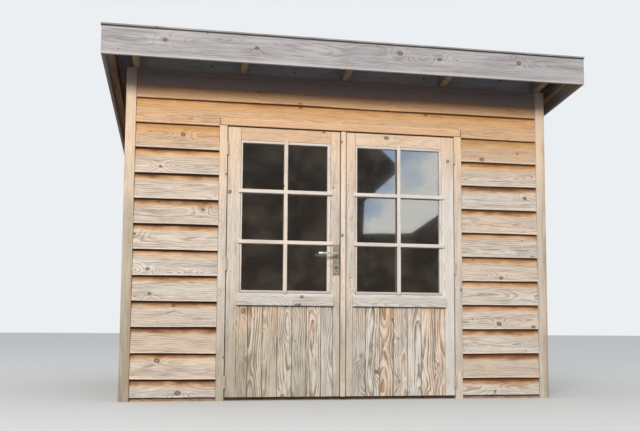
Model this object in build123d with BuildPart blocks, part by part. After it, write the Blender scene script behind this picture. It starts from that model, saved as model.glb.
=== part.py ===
from build123d import *
from math import cos, radians, sin, tan
import os

os.makedirs("parts", exist_ok=True)

# A garden shed with lap-boarded walls, a pent roof that falls to the back and a glazed pair of doors.
# Millimetres. +X runs along the front, +Y into the shed, +Z up.
# The origin lies on the ground below the middle of the roof's outline.

# Walls
shed_width = 3050.0  # across the outer faces of the corner posts
shed_depth = 2400.0
post_size = 68.0
seat_height = 2271.0  # underside of the joists, at the front of the wall
roof_slope = 5.5  # degrees, falling to the back
board_pitch = 175.0  # from one shadow line to the next
lowest_lap = 140.0  # height of the lowest shadow line
board_butt = 28.0  # a board's thickness at its lower edge
board_tip = 14.0  # and where the next board covers it
board_set_back = 4.0  # from the face of the posts to the butts
ground_gap = 25.0  # under the boards and the doors
arris = 3.0  # radius of the long edges of planed timber

# Wall frame and floor
stud_width = 45.0
stud_depth = 35.0
sole_height = 45.0
plate_height = 70.0
side_studs = 2
back_studs = 3
bearer_width = 70.0
bearer_height = 45.0
bearer_count = 4
floor_thickness = 20.0
floor_gap = 5.0  # round the edge of the floor boards

# Roof
front_overhang = 350.0  # from the wall to the face of the fascia
side_overhang = 138.0
back_overhang = 138.0
joist_width = 45.0
joist_height = 95.0
joist_count = 5
joist_inset = 66.0  # from the side of the shed to the middle of the outer joist
deck_thickness = 20.0
covering_thickness = 4.0
fascia_thickness = 20.0
fascia_height = 187.0
lath_width = 30.0
lath_height = 10.0
lath_proud = 5.0  # beyond the face of the fascia
lath_joint = 0.5

# Door frame
doorway_middle = -8.0  # along the front
frame_width = 1756.0
frame_face = 54.0  # width of a jamb and height of the head
frame_depth = 90.0
head_drop = 373.0  # from the joists' seat down to the underside of the head
stop_thickness = 15.0
stop_joint = 0.5
threshold_depth = 45.0

# Door leaves
leaf_thickness = 44.0
leaf_set_back = 2.0
edge_gap = 6.0  # between a leaf and the frame
stop_gap = 5.0  # between a leaf and what it closes against
meeting_gap = 7.0  # between the leaves
active_leaf_edge = 15.0  # right edge of the leaf with the handle, from the doorway's middle
hinge_stile_width = 90.0
active_stile_width = 107.0
passive_stile_width = 65.0
rail_height = 90.0
window_sill_height = 735.0
mid_rail_height = 135.0
bottom_rail_height = 120.0
panel_thickness = 19.0
panel_lap = 20.0  # rebate in the stiles for the panel
panel_top = 675.0
weatherboard_height = 85.0
weatherboard_nose = 64.0
weatherboard_proud = 24.0
drip_size = 4.0  # groove under the weatherboard
drip_from_nose = 6.0
glass_thickness = 4.0
glass_set_back = 18.0  # behind the face of the leaf
glass_clearance = 0.3
strip_width = 38.0
strip_thickness = 20.0
strip_bevel = 5.0

# Hinges
hinge_height = 85.0
knuckle_radius = 7.0
pin_radius = 4.0
pin_clearance = 0.3
knuckle_gap = 1.0
pin_end_cover = 6.0
axis_proud = 9.0  # hinge axis in front of the door frame
flag_thickness = 2.5
flag_depth = 32.0  # let into the edge of the timber
top_hinge_inset = 157.0
bottom_hinge_inset = 100.0

# Handle
spindle_height = 1016.0
spindle_from_edge = 66.5
spindle_size = 8.0
spindle_clearance = 2.0
plate_width = 45.0
plate_length = 214.0
plate_thickness = 8.0
plate_edge_radius = 2.5
plate_corner_radius = 4.0
plate_above_spindle = 67.0
cylinder_drop = 92.0  # from the spindle to the lock cylinder
cylinder_radius = 8.5
cylinder_tail_width = 10.0
cylinder_tail_length = 24.0
cylinder_proud = 3.0
lever_radius = 9.0
lever_clearance = 0.5
lever_reach = 52.0  # from the plate to the middle of the grip
lever_length = 132.0
lever_bend_radius = 20.0
lever_tip_length = 22.0
lever_tip_turn = 12.0

# Places worked out from the sizes above
roof_length = front_overhang + shed_depth + back_overhang + 2 * lath_proud
front_face = front_overhang + lath_proud - roof_length / 2
back_face = front_face + shed_depth
side_face = shed_width / 2
boards_back = board_set_back + board_butt
frame_back = boards_back + stud_depth
fascia_front = front_face - front_overhang
fascia_back = back_face + back_overhang
fascia_side = side_face + side_overhang
head_height = seat_height - head_drop
head_top = head_height + frame_face
jamb_inner = frame_width / 2 - frame_face
leaf_front = front_face + leaf_set_back
leaf_back = leaf_front + leaf_thickness
stop_front = leaf_back + stop_gap
leaf_top = head_height - edge_gap
leaf_hinge_edge = jamb_inner - edge_gap
hinge_axis = jamb_inner - edge_gap / 2
passive_leaf_edge = active_leaf_edge + meeting_gap
window_top = leaf_top - rail_height
inside_post = side_face - post_size

# The plane that the joists lie on
slope = radians(roof_slope)
roof_up = Axis((0, 0, 0), (0, sin(slope), cos(slope)))
seat_plane = Plane(
    origin=(0, front_face, seat_height),
    x_dir=(1, 0, 0),
    z_dir=(0, sin(slope), cos(slope)),
)


def seat_at(y):
    """Height of the joists' underside at the place y."""
    return seat_height - (y - front_face) * tan(slope)


def at_door(x):
    """Place along the front of a point that is given from the doorway's middle."""
    return doorway_middle + x


def block(x_span, y_span, z_span, mode=Mode.ADD):
    """Add a squared piece, given by where it starts and ends along X, Y and Z."""
    with BuildSketch(Plane.XY.offset(z_span[0])) as section:
        with Locations((sum(x_span) / 2, sum(y_span) / 2)):
            Rectangle(abs(x_span[1] - x_span[0]), abs(y_span[1] - y_span[0]))
    extrude(section.sketch, amount=z_span[1] - z_span[0], mode=mode)


def board_thickness(height):
    """Thickness of the lap boards at a height: each tapers from its butt up to its tip."""
    taper = ((height - lowest_lap) % board_pitch) / board_pitch
    return board_butt - (board_butt - board_tip) * taper


def lap_outline(back, outward, bottom, top):
    """Corners of a lap-boarded wall's section: flat at back, stepped towards outward (+1 or -1)."""
    outline = [(back, bottom), (back + outward * board_thickness(bottom), bottom)]
    lap = lowest_lap
    while lap < top:
        if lap > bottom:
            outline.append((back + outward * board_tip, lap))
            outline.append((back + outward * board_butt, lap))
        lap += board_pitch
    outline.append((back + outward * board_thickness(top), top))
    outline.append((back, top))
    return outline


def roof_outline(y_span, low, high):
    """Corners of a roof layer's section with upright ends, low to high square above the joists' seat."""
    y_start, y_end = y_span
    low_rise = low / cos(slope)
    high_rise = high / cos(slope)
    return [
        (y_start, seat_at(y_start) + low_rise),
        (y_end, seat_at(y_end) + low_rise),
        (y_end, seat_at(y_end) + high_rise),
        (y_start, seat_at(y_start) + high_rise),
    ]


def ease_lower_edges(timber):
    """Round the two long lower edges of a timber that lies along the roof's slope."""
    underside = timber.faces().sort_by(roof_up)[0]
    fillet(underside.edges().sort_by(SortBy.LENGTH)[-2:], arris)


def save(part, name):
    """Label a finished piece and write it to its own file."""
    part.label = name
    export_step(part, f"parts/{name}.step")


# Walls: lap boards between the posts, cut to the slope of the roof at the top.
# The front is split beside and over the doorway.
wall_top = seat_height + board_pitch
frame_left = at_door(-frame_width / 2)
frame_right = at_door(frame_width / 2)


def front_boards(x_start, x_end, bottom, name):
    """Boards of one stretch of the front wall."""
    with BuildPart() as boards:
        with BuildSketch(Plane.YZ.offset(x_start)):
            Polygon(*lap_outline(front_face + boards_back, -1, bottom, wall_top), align=None)
        extrude(amount=x_end - x_start)
        split(bisect_by=seat_plane, keep=Keep.BOTTOM)
    save(boards.part, name)


front_boards(-inside_post, frame_left, ground_gap, "front_wall_left")
front_boards(frame_right, inside_post, ground_gap, "front_wall_right")
front_boards(frame_left, frame_right, head_top, "front_wall_over_door")

with BuildPart() as back_wall:
    with BuildSketch(Plane.YZ.offset(-inside_post)):
        Polygon(*lap_outline(back_face - boards_back, 1, ground_gap, wall_top), align=None)
    extrude(amount=2 * inside_post)
    split(bisect_by=seat_plane, keep=Keep.BOTTOM)
save(back_wall.part, "back_wall")

for side, name in ((-1, "left_wall"), (1, "right_wall")):
    with BuildPart() as side_wall:
        with BuildSketch(Plane.XZ.offset(-back_face + post_size)):
            Polygon(*lap_outline(side * (side_face - boards_back), side, ground_gap, wall_top), align=None)
        extrude(amount=shed_depth - 2 * post_size)
        split(bisect_by=seat_plane, keep=Keep.BOTTOM)
    save(side_wall.part, name)

# Corner posts, from the ground to the roof
wall_middle = (front_face + back_face) / 2
with BuildPart() as corner_posts:
    with BuildSketch(Plane.XY):
        with Locations((0, wall_middle)):
            with GridLocations(shed_width - post_size, shed_depth - post_size, 2, 2):
                Rectangle(post_size, post_size)
    extrude(amount=wall_top)
    fillet(corner_posts.edges().filter_by(Axis.Z), arris)
    split(bisect_by=seat_plane, keep=Keep.BOTTOM)
save(corner_posts.part, "corner_posts")

# Wall frame: sole plates on the ground, top plates under the joists and studs between them
front_zone = (front_face + boards_back, front_face + frame_back)
back_zone = (back_face - frame_back, back_face - boards_back)
side_zone = (side_face - frame_back, side_face - boards_back)
side_run = (front_face + post_size, back_face - post_size)
plate_lift = plate_height / cos(slope)

with BuildPart() as sole_plates:
    block((-inside_post, frame_left), front_zone, (0, sole_height))
    block((frame_right, inside_post), front_zone, (0, sole_height))
    block((-inside_post, inside_post), back_zone, (0, sole_height))
    block(side_zone, side_run, (0, sole_height))
    block([-x for x in side_zone], side_run, (0, sole_height))
save(sole_plates.part, "sole_plates")

with BuildPart() as top_plates:
    block((-inside_post, inside_post), front_zone, (0, wall_top))
    block((-inside_post, inside_post), back_zone, (0, wall_top))
    block(side_zone, side_run, (0, wall_top))
    block([-x for x in side_zone], side_run, (0, wall_top))
    split(bisect_by=seat_plane, keep=Keep.BOTTOM)
    split(bisect_by=seat_plane.offset(-plate_height), keep=Keep.TOP)
save(top_plates.part, "top_plates")


def spaced(start, end, count):
    """Places of evenly spaced pieces between start and end."""
    return [start + (end - start) * (i + 1) / (count + 1) for i in range(count)]


def upright(middle):
    """Span of a stud's width about its middle."""
    return (middle - stud_width / 2, middle + stud_width / 2)


with BuildPart() as wall_studs:
    stud_height = (sole_height, wall_top)
    for y in spaced(*side_run, side_studs):
        block(side_zone, upright(y), stud_height)
        block([-x for x in side_zone], upright(y), stud_height)
    for x in spaced(-inside_post, inside_post, back_studs):
        block(upright(x), back_zone, stud_height)
    for x in (frame_left - stud_width / 2, frame_right + stud_width / 2):
        block(upright(x), front_zone, stud_height)
    split(bisect_by=seat_plane.offset(-plate_height), keep=Keep.BOTTOM)
save(wall_studs.part, "wall_studs")

# Floor: bearers from side to side on the ground, and boards on them
floor_x = (frame_back - side_face, side_face - frame_back)
floor_y = (stop_front + threshold_depth, back_face - frame_back)

with BuildPart() as floor_bearers:
    first = floor_y[0] + floor_gap + bearer_width / 2
    last = floor_y[1] - floor_gap - bearer_width / 2
    for i in range(bearer_count):
        y = first + (last - first) * i / (bearer_count - 1)
        block(floor_x, (y - bearer_width / 2, y + bearer_width / 2), (0, bearer_height))
save(floor_bearers.part, "floor_bearers")

with BuildPart() as floor_boards:
    block(
        (floor_x[0] + floor_gap, floor_x[1] - floor_gap),
        (floor_y[0] + floor_gap, floor_y[1] - floor_gap),
        (bearer_height, bearer_height + floor_thickness),
    )
save(floor_boards.part, "floor_boards")

# Roof: joists across the walls, a fly rafter inside each side fascia, blocks between the joists,
# boards, the covering, the fascias and a lath on the roof's edge
joist_run = (fascia_front + fascia_thickness, fascia_back - fascia_thickness)
outer_joist = side_face - joist_inset
fly_rafter = fascia_side - fascia_thickness - joist_width / 2
joist_spacing = 2 * outer_joist / (joist_count - 1)
joist_places = [i * joist_spacing - outer_joist for i in range(joist_count)]


def joist(x):
    """A joist over the walls with its middle at x."""
    with BuildPart() as piece:
        with BuildSketch(Plane.YZ.offset(x)):
            Polygon(*roof_outline(joist_run, 0, joist_height), align=None)
        extrude(amount=joist_width / 2, both=True)
        ease_lower_edges(piece)
    return piece.part


with BuildPart() as roof_joists:
    for x in joist_places:
        add(joist(x))
save(roof_joists.part, "roof_joists")
save(joist(-fly_rafter), "left_fly_rafter")
save(joist(fly_rafter), "right_fly_rafter")

for zone, name in ((front_zone, "front_eaves_blocks"), (back_zone, "back_eaves_blocks")):
    with BuildPart() as eaves_blocks:
        for x in joist_places[:-1]:
            with BuildSketch(Plane.YZ.offset(x + joist_width / 2)):
                Polygon(*roof_outline(zone, 0, joist_height), align=None)
            extrude(amount=joist_spacing - joist_width)
    save(eaves_blocks.part, name)

deck_top = joist_height + deck_thickness
with BuildPart() as roof_boards:
    with BuildSketch(Plane.YZ):
        Polygon(*roof_outline(joist_run, joist_height, deck_top), align=None)
    extrude(amount=fascia_side - fascia_thickness, both=True)
save(roof_boards.part, "roof_boards")

covering_top = deck_top + covering_thickness
with BuildPart() as roof_covering:
    with BuildSketch(Plane.YZ):
        Polygon(*roof_outline((fascia_front, fascia_back), deck_top, covering_top), align=None)
    extrude(amount=fascia_side, both=True)
save(roof_covering.part, "roof_covering")


def end_fascia(y_span, high_side, name):
    """Fascia across the roof, its top planed to the slope from its higher side."""
    with BuildPart() as fascia:
        top = seat_at(high_side) + deck_top / cos(slope)
        block((-fascia_side, fascia_side), y_span, (top - fascia_height, top))
        fillet(fascia.edges().filter_by(Axis.X).group_by(Axis.Z)[0], arris)
        split(bisect_by=seat_plane.offset(deck_top), keep=Keep.BOTTOM)
    save(fascia.part, name)


end_fascia((fascia_front, joist_run[0]), fascia_front, "front_fascia")
end_fascia((joist_run[1], fascia_back), joist_run[1], "back_fascia")

fascia_low = deck_top - fascia_height * cos(slope)
for side, name in ((-1, "left_fascia"), (1, "right_fascia")):
    with BuildPart() as side_fascia:
        with BuildSketch(Plane.YZ.offset(side * (fascia_side - fascia_thickness / 2))):
            Polygon(*roof_outline(joist_run, fascia_low, deck_top), align=None)
        extrude(amount=fascia_thickness / 2, both=True)
        ease_lower_edges(side_fascia)
    save(side_fascia.part, name)

lath_side = fascia_side + lath_proud
lath_front = fascia_front - lath_proud
lath_back = fascia_back + lath_proud
with BuildPart() as roof_edge_laths:
    for run in ((lath_front, lath_front + lath_width), (lath_back - lath_width, lath_back)):
        with BuildSketch(Plane.YZ):
            Polygon(*roof_outline(run, covering_top, covering_top + lath_height), align=None)
        extrude(amount=lath_side, both=True)
    side_lath_run = (lath_front + lath_width + lath_joint, lath_back - lath_width - lath_joint)
    for side in (-1, 1):
        with BuildSketch(Plane.YZ.offset(side * (lath_side - lath_width / 2))):
            Polygon(*roof_outline(side_lath_run, covering_top, covering_top + lath_height), align=None)
        extrude(amount=lath_width / 2, both=True)
save(roof_edge_laths.part, "roof_edge_laths")

# Hinges: a knuckle and pin on the frame carries a knuckle on the leaf.
# Each knuckle has a flag that is let into the edge of the jamb or the stile.
top_hinge = leaf_top - top_hinge_inset
bottom_hinge = ground_gap + bottom_hinge_inset
hinge_middles = (bottom_hinge, (bottom_hinge + top_hinge) / 2, top_hinge)
knuckle_height = (hinge_height - knuckle_gap) / 2
axis_y = front_face - axis_proud
flag_run = (axis_y, front_face + flag_depth)


def frame_flag(side, mode=Mode.ADD):
    """Flags in the jamb on one side, or their pockets."""
    inner = at_door(side * jamb_inner)
    outer = inner + side * flag_thickness
    for middle in hinge_middles:
        low = middle - hinge_height / 2
        block((inner, outer), flag_run, (low, low + knuckle_height), mode)


def leaf_flag(side, mode=Mode.ADD):
    """Flags in the hinge stile on one side, or their pockets."""
    outer = at_door(side * leaf_hinge_edge)
    inner = outer - side * flag_thickness
    for middle in hinge_middles:
        high = middle + hinge_height / 2
        block((outer, inner), flag_run, (high - knuckle_height, high), mode)


def barrel(x, y, radius, low, high, mode=Mode.ADD):
    """An upright round pin or knuckle."""
    with BuildSketch(Plane.XY.offset(low)) as section:
        with Locations((x, y)):
            Circle(radius)
    extrude(section.sketch, amount=high - low, mode=mode)


with BuildPart() as frame_hinges:
    for side in (-1, 1):
        axis_x = at_door(side * hinge_axis)
        frame_flag(side)
        for middle in hinge_middles:
            low = middle - hinge_height / 2
            barrel(axis_x, axis_y, knuckle_radius, low, low + knuckle_height)
            pin_end = middle + hinge_height / 2 - pin_end_cover
            barrel(axis_x, axis_y, pin_radius, low + knuckle_height, pin_end)
save(frame_hinges.part, "frame_hinges")

for side, name in ((-1, "left_door_hinges"), (1, "right_door_hinges")):
    axis_x = at_door(side * hinge_axis)
    with BuildPart() as leaf_hinges:
        leaf_flag(side)
        for middle in hinge_middles:
            high = middle + hinge_height / 2
            barrel(axis_x, axis_y, knuckle_radius, high - knuckle_height, high)
        for middle in hinge_middles:
            low = middle - hinge_height / 2
            bore_end = middle + hinge_height / 2 - pin_end_cover + pin_clearance
            barrel(axis_x, axis_y, pin_radius + pin_clearance, low, bore_end, Mode.SUBTRACT)
    save(leaf_hinges.part, name)

# Door frame: two jambs under a head, stop laths behind the leaves and a threshold
for side, name in ((-1, "door_jamb_left"), (1, "door_jamb_right")):
    with BuildPart() as jamb:
        block(
            (at_door(side * jamb_inner), at_door(side * frame_width / 2)),
            (front_face, front_face + frame_depth),
            (0, head_height),
        )
        fillet(jamb.edges().filter_by(Axis.Z).group_by(Axis.Y)[0], arris)
        frame_flag(side, Mode.SUBTRACT)
    save(jamb.part, name)

with BuildPart() as door_head:
    block((frame_left, frame_right), (front_face, front_face + frame_depth), (head_height, head_top))
    fillet(door_head.edges().filter_by(Axis.X).group_by(Axis.Y)[0], arris)
save(door_head.part, "door_head")

stop_zone = (stop_front, front_face + frame_depth)
stop_inner = jamb_inner - stop_thickness
with BuildPart() as door_stops:
    for side in (-1, 1):
        stop_span = (at_door(side * stop_inner), at_door(side * jamb_inner))
        block(stop_span, stop_zone, (sole_height, head_height))
    stop_end = stop_inner - stop_joint
    block(
        (at_door(-stop_end), at_door(stop_end)), stop_zone, (head_height - stop_thickness, head_height)
    )
save(door_stops.part, "door_stops")

with BuildPart() as threshold:
    block(
        (at_door(-jamb_inner), at_door(jamb_inner)),
        (stop_front, stop_front + threshold_depth),
        (0, sole_height),
    )
save(threshold.part, "threshold")


# Door leaves: rebated stiles, rails between them, glass above, a boarded panel below,
# and a weatherboard over the head of the panel
def leaf(side, meeting_edge, meeting_stile, name):
    """The pieces of one leaf; side is -1 for the left one, and its hinge stile is on that side."""
    hinge_edge = at_door(side * leaf_hinge_edge)
    hinge_inner = hinge_edge - side * hinge_stile_width
    meeting_inner = meeting_edge + side * meeting_stile
    panel_span = (hinge_inner + side * panel_lap, meeting_inner - side * panel_lap)
    opening = (hinge_inner, meeting_inner)
    through = (leaf_front, leaf_back)
    behind_panel = (leaf_front + panel_thickness, leaf_back)

    with BuildPart() as stiles:
        block((hinge_edge, hinge_inner), through, (ground_gap, leaf_top))
        block((meeting_edge, meeting_inner), through, (ground_gap, leaf_top))
        front_edges = stiles.edges().filter_by(Axis.Z).group_by(Axis.Y)[0].sort_by(Axis.X)
        if side < 0:
            front_edges = front_edges[:-1]  # the meeting strip lies over the last one
        fillet(front_edges, arris)
        block(
            panel_span, (leaf_front, leaf_front + panel_thickness), (ground_gap, panel_top), Mode.SUBTRACT
        )
        leaf_flag(side, Mode.SUBTRACT)
        if side < 0:
            barrel_hole(spindle_size / 2 + spindle_clearance, through)
    save(stiles.part, f"{name}_door_stiles")

    with BuildPart() as rails:
        block(opening, through, (window_top, leaf_top))
        block(opening, through, (panel_top, window_sill_height))
        block(opening, behind_panel, (window_sill_height - mid_rail_height, panel_top))
        block(opening, behind_panel, (ground_gap, ground_gap + bottom_rail_height))
    save(rails.part, f"{name}_door_rails")

    with BuildPart() as glass:
        block(
            (opening[0] - side * glass_clearance, opening[1] + side * glass_clearance),
            (leaf_front + glass_set_back, leaf_front + glass_set_back + glass_thickness),
            (window_sill_height + glass_clearance, window_top - glass_clearance),
        )
    save(glass.part, f"{name}_door_glass")

    with BuildPart() as panel:
        block(panel_span, (leaf_front, leaf_front + panel_thickness), (ground_gap, panel_top))
    save(panel.part, f"{name}_door_panel")

    weatherboard_bottom = window_sill_height - weatherboard_height
    with BuildPart() as weatherboard:
        with BuildSketch(Plane.YZ.offset(sum(panel_span) / 2)):
            with BuildLine():
                Polyline(
                    (leaf_front, weatherboard_bottom),
                    (leaf_front - weatherboard_proud, weatherboard_bottom),
                    (leaf_front - weatherboard_proud, weatherboard_bottom + weatherboard_nose),
                    (leaf_front, window_sill_height),
                    close=True,
                )
            make_face()
            with Locations((leaf_front - weatherboard_proud + drip_from_nose, weatherboard_bottom)):
                Rectangle(
                    drip_size, drip_size, align=(Align.MIN, Align.MIN), mode=Mode.SUBTRACT
                )
        extrude(amount=abs(panel_span[1] - panel_span[0]) / 2, both=True)
    save(weatherboard.part, f"{name}_door_weatherboard")


# Handle: a long plate on each face of the active leaf, and a lever through both
spindle_x = at_door(active_leaf_edge - spindle_from_edge)


def barrel_hole(radius, y_span):
    """Cut the hole for the spindle through the leaf."""
    with BuildSketch(Plane.XZ.offset(-y_span[0])) as section:
        with Locations((spindle_x, spindle_height)):
            Circle(radius)
    extrude(section.sketch, amount=y_span[0] - y_span[1], mode=Mode.SUBTRACT)


leaf(-1, at_door(active_leaf_edge), active_stile_width, "left")
leaf(1, at_door(passive_leaf_edge), passive_stile_width, "right")

with BuildPart() as meeting_strip:
    block(
        (at_door(active_leaf_edge - strip_width), at_door(active_leaf_edge)),
        (leaf_front - strip_thickness, leaf_front),
        (ground_gap, leaf_top),
    )
    chamfer(meeting_strip.edges().filter_by(Axis.Z).group_by(Axis.Y)[0], strip_bevel)
save(meeting_strip.part, "meeting_strip")

plate_middle = spindle_height + plate_above_spindle - plate_length / 2


def handle_plate(face, outward):
    """A long plate with a lock cylinder on the leaf's face at y; outward is -1 or +1 along Y."""
    with BuildSketch(Plane.XZ.offset(-face)) as outline:
        with Locations((spindle_x, plate_middle)):
            RectangleRounded(plate_width, plate_length, plate_corner_radius)
        with Locations((spindle_x, spindle_height)):
            Circle(lever_radius + lever_clearance, mode=Mode.SUBTRACT)
    extrude(outline.sketch, amount=-outward * plate_thickness)
    outer_face = faces().sort_by(Axis.Y, reverse=outward > 0)[0]
    fillet(outer_face.outer_wire().edges(), plate_edge_radius)
    with BuildSketch(Plane.XZ.offset(-face - outward * plate_thickness)) as cylinder:
        with Locations((spindle_x, spindle_height - cylinder_drop)):
            Circle(cylinder_radius)
        with Locations((spindle_x, spindle_height - cylinder_drop - cylinder_tail_length / 2)):
            Rectangle(cylinder_tail_width, cylinder_tail_length)
    extrude(cylinder.sketch, amount=-outward * cylinder_proud)


with BuildPart() as handle_plates:
    handle_plate(leaf_front, -1)
    handle_plate(leaf_back, 1)
save(handle_plates.part, "handle_plates")


def lever(face, outward):
    """A bent round lever with its neck starting at the leaf's face at y."""
    grip_y = face + outward * (plate_thickness + lever_reach)
    tip_x = spindle_x - lever_length + lever_tip_length
    turn = radians(lever_tip_turn)
    with BuildLine() as route:
        FilletPolyline(
            (spindle_x, face, spindle_height),
            (spindle_x, grip_y, spindle_height),
            (tip_x, grip_y, spindle_height),
            (
                tip_x - lever_tip_length * cos(turn),
                grip_y - outward * lever_tip_length * sin(turn),
                spindle_height,
            ),
            radius=lever_bend_radius,
        )
    with BuildSketch(Plane(origin=(spindle_x, face, spindle_height), z_dir=(0, outward, 0))) as bar:
        Circle(lever_radius)
    sweep(bar.sketch, path=route.wires()[0])


with BuildPart() as door_lever:
    lever(leaf_front, -1)
    lever(leaf_back, 1)
    with BuildSketch(Plane.XZ.offset(-leaf_front)):
        with Locations((spindle_x, spindle_height)):
            Rectangle(spindle_size, spindle_size)
    extrude(amount=-leaf_thickness)
save(door_lever.part, "door_lever")
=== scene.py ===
from functools import partialmethod
from math import cos, pi, radians, sin, tan
from types import SimpleNamespace

import bmesh
import bpy
import numpy as np
from mathutils import Matrix, Vector


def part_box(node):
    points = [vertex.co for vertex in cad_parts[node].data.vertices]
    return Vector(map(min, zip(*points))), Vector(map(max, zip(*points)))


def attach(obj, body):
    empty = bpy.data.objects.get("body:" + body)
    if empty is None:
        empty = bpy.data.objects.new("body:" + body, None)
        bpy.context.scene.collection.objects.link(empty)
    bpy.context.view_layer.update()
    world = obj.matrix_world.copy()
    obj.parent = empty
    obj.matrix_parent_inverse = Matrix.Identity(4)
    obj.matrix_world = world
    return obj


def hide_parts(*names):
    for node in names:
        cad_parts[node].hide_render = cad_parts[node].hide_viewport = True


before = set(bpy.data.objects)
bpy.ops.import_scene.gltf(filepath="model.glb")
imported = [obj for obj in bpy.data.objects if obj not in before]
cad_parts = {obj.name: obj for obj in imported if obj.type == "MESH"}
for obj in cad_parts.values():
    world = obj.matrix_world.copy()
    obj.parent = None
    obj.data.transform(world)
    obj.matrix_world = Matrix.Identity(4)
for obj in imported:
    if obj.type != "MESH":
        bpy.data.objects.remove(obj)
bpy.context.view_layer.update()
scene = bpy.context.scene

# The camera stands low in the garden, left of the middle of the front, and looks up a little.
# Its frame is shifted so that the shed's uprights lean as little as they do in the photograph.
eye = Vector((-1.1054, -6.413, 0.4936))
turn_right = 0.1733
tilt_up = 0.0835
roll = 0.0064
photo_width = 640
focal_length_in_pixels = 773.3
rise_in_pixels = 48.2

lens = bpy.data.cameras.new("garden_camera")
lens.sensor_width = 36
lens.lens = lens.sensor_width * focal_length_in_pixels / photo_width
lens.shift_y = rise_in_pixels / photo_width
lens.clip_end = 200
camera = bpy.data.objects.new("garden_camera", lens)
scene.collection.objects.link(camera)
aim = Matrix.Rotation(-turn_right, 4, "Z") @ Matrix.Rotation(pi / 2 + tilt_up, 4, "X")
camera.matrix_world = Matrix.Translation(eye) @ aim @ Matrix.Rotation(roll, 4, "Z")
scene.camera = camera
scene.view_settings.view_transform = "Standard"


# The studio: a pale sky, as under thin cloud, gives more light from above than from the horizon,
# and one wide soft lamp stands far in front. The floor looks pale, but sends little light up, so
# that the eaves stay dark. Glass and metal mirror a cloudy sky over a dark band.
class Field:
    """A socket whose value varies over a surface. Arithmetic on it adds Math nodes."""

    def __init__(self, recipe, socket):
        self.recipe = recipe
        self.socket = socket

    def math(self, operation, *others):
        inputs = dict(enumerate((self, *others)))
        return self.recipe.field("Math", inputs, operation=operation)

    __add__ = __radd__ = partialmethod(math, "ADD")
    __sub__ = partialmethod(math, "SUBTRACT")
    __mul__ = __rmul__ = partialmethod(math, "MULTIPLY")
    __truediv__ = partialmethod(math, "DIVIDE")
    or_more = partialmethod(math, "MAXIMUM")
    or_less = partialmethod(math, "MINIMUM")

    def __rsub__(self, other):
        return self * -1 + other

    def between(self, low, high):
        """Ease from 0 at low to 1 at high, and stay there."""
        inputs = {"Value": self, "From Min": low, "From Max": high}
        return self.recipe.field("MapRange", inputs, interpolation_type="SMOOTHSTEP")

    def limited(self):
        """Keep it from 0 to 1."""
        return self.or_more(0.0).or_less(1.0)

    def axes(self):
        """The three numbers of a vector."""
        parts = self.recipe.node("SeparateXYZ", {0: self})
        return [Field(self.recipe, output) for output in parts.outputs]

    def blend(self, first, second):
        """Mix two colours: the first where this is 0, and the second where it is 1."""
        first, second = (c if isinstance(c, Field) else paint(*c) for c in (first, second))
        inputs = {0: self, 6: first, 7: second}
        return self.recipe.field("Mix", inputs, 2, data_type="RGBA")

    def under(self, share, colour):
        """This colour with another one over it, which hides it where share is 1."""
        return share.blend(self, colour)


class Recipe:
    """The nodes of one material, or of the world."""

    def __init__(self, owner):
        owner.use_nodes = True
        self.owner = owner
        self.tree = owner.node_tree
        self.tree.nodes.clear()

    def node(self, kind, inputs=None, **settings):
        """Add a node, give it its settings, and then the values or links of its sockets."""
        node = self.tree.nodes.new("ShaderNode" + kind)
        for name, value in settings.items():
            setattr(node, name, value)
        for name, value in (inputs or {}).items():
            if isinstance(value, Field):
                self.tree.links.new(value.socket, node.inputs[name])
            else:
                node.inputs[name].default_value = value
        return node

    def field(self, kind, inputs=None, output=0, **settings):
        """Add a node, and take one of its outputs to work with."""
        return Field(self, self.node(kind, inputs, **settings).outputs[output])

    def noise(self, where, scale, detail=2.0, roughness=0.5):
        inputs = {"Vector": where, "Scale": scale, "Detail": detail, "Roughness": roughness}
        return self.field("TexNoise", inputs)

    def principled(self, inputs):
        """End the material with a Principled shader that has these inputs."""
        shader = self.field("BsdfPrincipled", inputs)
        self.node("OutputMaterial", {"Surface": shader})
        return self.owner


def paint(*screen):
    """A colour as it is read off a screen, from 0 to 255, as the linear one that a node takes."""
    shares = [value / 255 for value in screen]
    linear = [((c + 0.055) / 1.055) ** 2.4 if c > 0.04 else c / 12.92 for c in shares]
    return (*linear, 1.0)


def place_mesh(name, vertices, faces, finish):
    """Put a mesh's vertices and faces into a new object at the origin."""
    mesh = bpy.data.meshes.new(name)
    mesh.from_pydata(vertices, [], faces)
    mesh.materials.append(finish)
    mesh.update()
    piece = bpy.data.objects.new(name, mesh)
    scene.collection.objects.link(piece)
    return piece


scene.world = bpy.data.worlds.new("pale_sky")
sky = Recipe(scene.world)


def glow(strength, colour):
    return sky.field("Background", {"Color": colour, "Strength": strength})


def mixed(share, first, second):
    """Mix two shaders: share 0 is the first and 1 the second."""
    return share.recipe.field("MixShader", {0: share, 1: first, 2: second})


def ray_is(recipe, *kinds):
    """1 for rays of these kinds, and 0 for all others."""
    rays = recipe.node("LightPath")
    first, *others = (Field(recipe, rays.outputs[f"Is {kind} Ray"]) for kind in kinds)
    for other in others:
        first = first.or_more(other)
    return first


gaze = sky.field("TexCoord", output="Generated")
gaze_right, gaze_back, gaze_up = gaze.axes()
horizon = glow(0.60, paint(216, 229, 255))
overhead = glow(0.92, paint(250, 251, 255))
day = mixed(gaze_up.between(-0.1, 0.7), horizon, overhead)
backdrop = glow(1.0, paint(236, 239, 242))

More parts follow.
